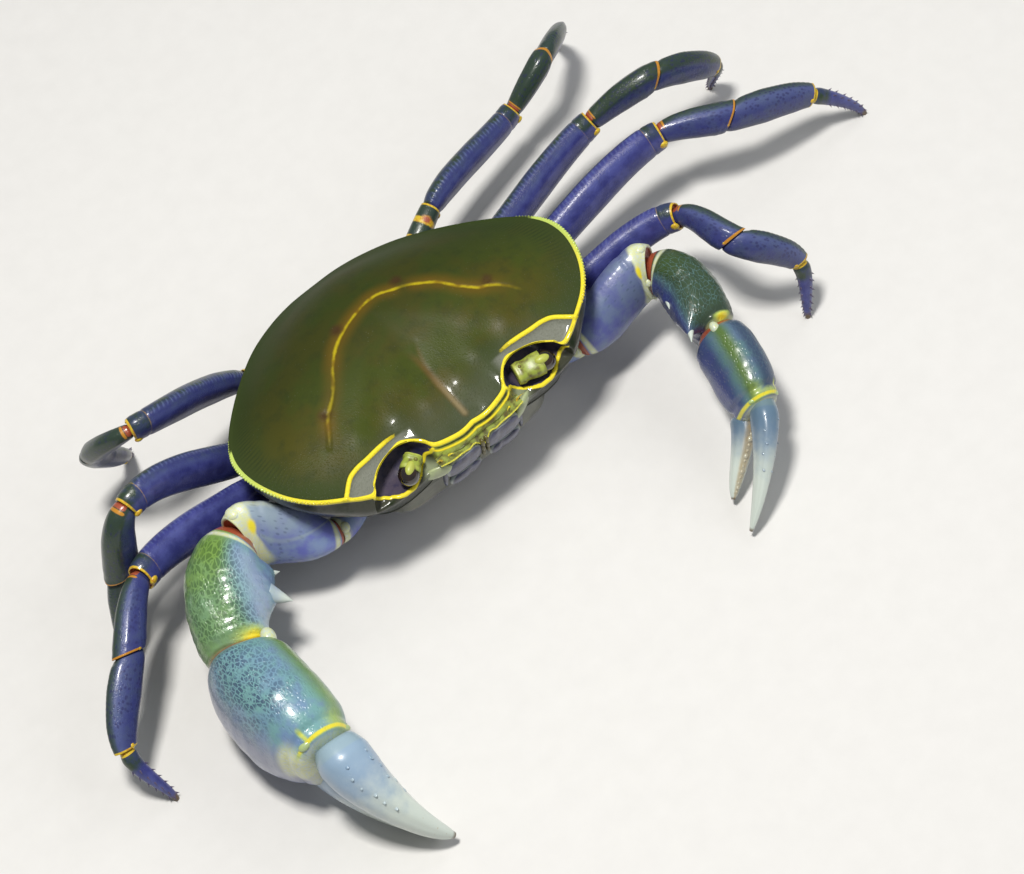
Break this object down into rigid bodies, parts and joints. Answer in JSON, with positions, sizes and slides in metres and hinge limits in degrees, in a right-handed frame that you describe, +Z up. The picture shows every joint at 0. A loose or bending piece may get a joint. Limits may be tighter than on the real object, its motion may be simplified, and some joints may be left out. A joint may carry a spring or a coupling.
{
  "type": "freshwater crab",
  "caption": "Life-size freshwater crab standing on jointed walking legs, with a broad domed carapace, short stalked eyes, a large right claw and a smaller left claw held low in front.",
  "frame": {"origin": "under the middle of the whole crab's box, on the floor", "axes": "+Z up, -Y the way the crab faces, +X towards the crab's left"},
  "size_m": [0.1628, 0.1048, 0.0293],
  "materials": {
    "shell": "wet, glossy dark olive shell with yellow edges",
    "underside": "pale, satin underside",
    "eye": "glossy dark eye",
    "mouthpart": "slate blue with a pale rim",
    "leg": "wet blue-violet",
    "arm": "wet blue-grey with violet",
    "claw": "wet green to teal, netted with dark lines",
    "finger": "glossy cream white"
  },
  "bodies": {
    "root": {"abdomen": "underside", "carapace": "shell", "claw_left_base": "arm", "claw_left_carpus": "claw", "claw_left_dactyl": "finger", "claw_left_merus": "arm", "claw_left_palm": "claw", "claw_right_base": "arm", "claw_right_carpus": "claw", "claw_right_dactyl": "finger", "claw_right_merus": "arm", "claw_right_palm": "claw", "eye_left": "eye", "eye_right": "eye", "leg_left_2_base": "leg", "leg_left_2_carpus": "leg", "leg_left_2_dactyl": "leg", "leg_left_2_merus": "leg", "leg_left_2_propodus": "leg", "leg_left_3_base": "leg", "leg_left_3_carpus": "leg", "leg_left_3_dactyl": "leg", "leg_left_3_merus": "leg", "leg_left_3_propodus": "leg", "leg_left_4_base": "leg", "leg_left_4_carpus": "leg", "leg_left_4_dactyl": "leg", "leg_left_4_merus": "leg", "leg_left_4_propodus": "leg", "leg_left_5_base": "leg", "leg_left_5_carpus": "leg", "leg_left_5_dactyl": "leg", "leg_left_5_merus": "leg", "leg_left_5_propodus": "leg", "leg_right_2_base": "leg", "leg_right_2_carpus": "leg", "leg_right_2_dactyl": "leg", "leg_right_2_merus": "leg", "leg_right_2_propodus": "leg", "leg_right_3_base": "leg", "leg_right_3_carpus": "leg", "leg_right_3_dactyl": "leg", "leg_right_3_merus": "leg", "leg_right_3_propodus": "leg", "leg_right_4_base": "leg", "leg_right_4_carpus": "leg", "leg_right_4_dactyl": "leg", "leg_right_4_merus": "leg", "leg_right_4_propodus": "leg", "leg_right_5_base": "leg", "leg_right_5_carpus": "leg", "leg_right_5_dactyl": "leg", "leg_right_5_merus": "leg", "leg_right_5_propodus": "leg", "maxilliped_left": "mouthpart", "maxilliped_right": "mouthpart", "sternum": "underside"}
  },
  "joints": []
}
